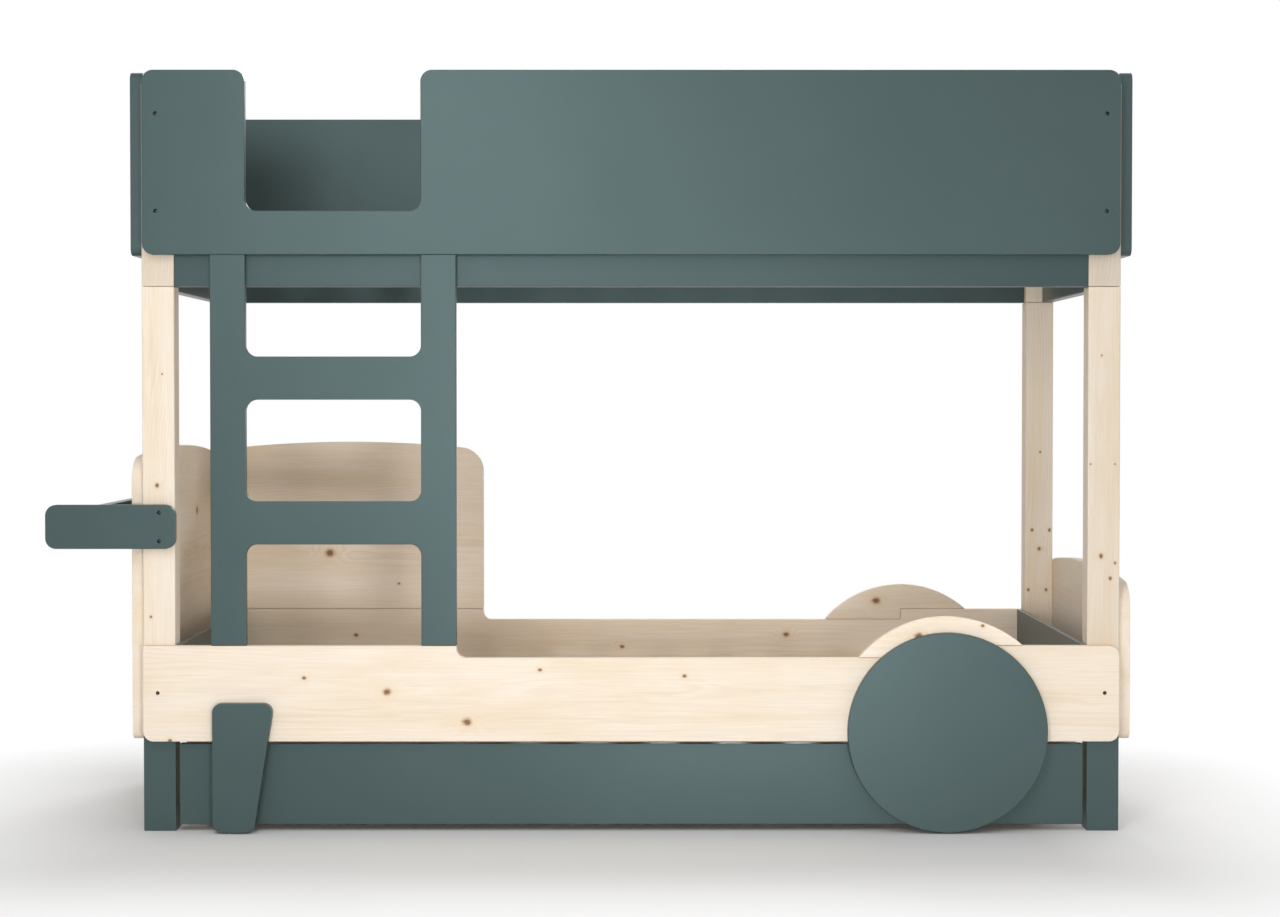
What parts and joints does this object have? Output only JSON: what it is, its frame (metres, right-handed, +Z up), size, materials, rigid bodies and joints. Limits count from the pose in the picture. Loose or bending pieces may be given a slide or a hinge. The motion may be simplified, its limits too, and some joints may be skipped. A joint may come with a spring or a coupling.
{
  "type": "bunk bed",
  "caption": "Child's bunk bed in pine and painted boards, with a cut-out ladder, guard panels, an end shelf, a wheel-shaped disc and a rolling trundle drawer.",
  "frame": {"origin": "on the floor, under the middle of the whole bed, its end shelf and wheel disc included", "axes": "+X along the bed from the headboard to the footboard, +Y from the ladder side to the back, +Z up"},
  "size_m": [2.323, 1.0084, 1.626],
  "materials": {
    "painted_board": "satin grey-green paint",
    "pine": "clear matt lacquer, knotty",
    "drawer_ply": "bare plywood",
    "steel": "zinc plated",
    "beech": "bare",
    "caster_tread": "matt"
  },
  "bodies": {
    "bed_frame": {"leg_front_left": "painted_board", "leg_front_right": "painted_board", "leg_back_left": "painted_board", "leg_back_right": "painted_board", "lower_end_board_left": "painted_board", "lower_end_board_right": "painted_board", "upper_front_panel": "painted_board", "upper_back_panel": "painted_board", "upper_end_panel_left": "painted_board", "upper_end_panel_right": "painted_board", "base_rail_front": "painted_board", "base_rail_back": "painted_board", "base_rail_left": "painted_board", "base_rail_right": "painted_board", "ladder": "painted_board", "shelf_bracket_front": "painted_board", "shelf_bracket_back": "painted_board", "shelf_board": "painted_board", "shelf_lip": "painted_board", "post_front_left": "pine", "post_front_right": "pine", "post_back_left": "pine", "post_back_right": "pine", "upper_post_front_left": "pine", "upper_post_front_right": "pine", "upper_post_back_left": "pine", "upper_post_back_right": "pine", "lower_front_rail": "pine", "lower_back_rail": "pine", "front_arch": "pine", "back_arch": "pine", "raised_back_panel": "pine", "headboard": "pine", "footboard": "pine", "ledger_front": "pine", "ledger_back": "pine", "lower_slats": "pine", "upper_slats": "pine", "front_bolts": "steel", "back_bolts": "steel", "end_bolts": "steel", "stacking_pins": "steel", "leg_dowels": "beech", "board_dowels": "beech"},
    "trundle": {"drawer_front": "painted_board", "drawer_side_left": "drawer_ply", "drawer_side_right": "drawer_ply", "drawer_back": "drawer_ply", "drawer_floor": "drawer_ply", "wheel_disc": "painted_board", "step_foot": "painted_board", "pull_blocks": "painted_board", "pull_screws": "steel", "caster_brackets": "steel", "caster_axles": "steel"},
    "caster_front_left": {"caster_wheel_front_left": "caster_tread"},
    "caster_front_right": {"caster_wheel_front_right": "caster_tread"},
    "caster_back_left": {"caster_wheel_back_left": "caster_tread"},
    "caster_back_right": {"caster_wheel_back_right": "caster_tread"}
  },
  "joints": [
    {"name": "trundle_slide", "type": "slide", "parent": "bed_frame", "child": "trundle", "axis": [0, -1, 0], "range_m": [0, 0.86]},
    {"name": "caster_roll_front_left", "type": "hinge", "parent": "trundle", "child": "caster_front_left", "pos_m": [-0.7525, -0.35275, 0.0225], "axis": [1, 0, 0], "continuous": true},
    {"name": "caster_roll_front_right", "type": "hinge", "parent": "trundle", "child": "caster_front_right", "pos_m": [0.9295, -0.35275, 0.0225], "axis": [1, 0, 0], "continuous": true},
    {"name": "caster_roll_back_left", "type": "hinge", "parent": "trundle", "child": "caster_back_left", "pos_m": [-0.7525, 0.33925, 0.0225], "axis": [1, 0, 0], "continuous": true},
    {"name": "caster_roll_back_right", "type": "hinge", "parent": "trundle", "child": "caster_back_right", "pos_m": [0.9295, 0.33925, 0.0225], "axis": [1, 0, 0], "continuous": true}
  ],
  "couplings": [
    {"joint": "caster_roll_front_left", "follows": "trundle_slide", "rad_per_m": 44.444},
    {"joint": "caster_roll_front_right", "follows": "trundle_slide", "rad_per_m": 44.444},
    {"joint": "caster_roll_back_left", "follows": "trundle_slide", "rad_per_m": 44.444},
    {"joint": "caster_roll_back_right", "follows": "trundle_slide", "rad_per_m": 44.444}
  ]
}
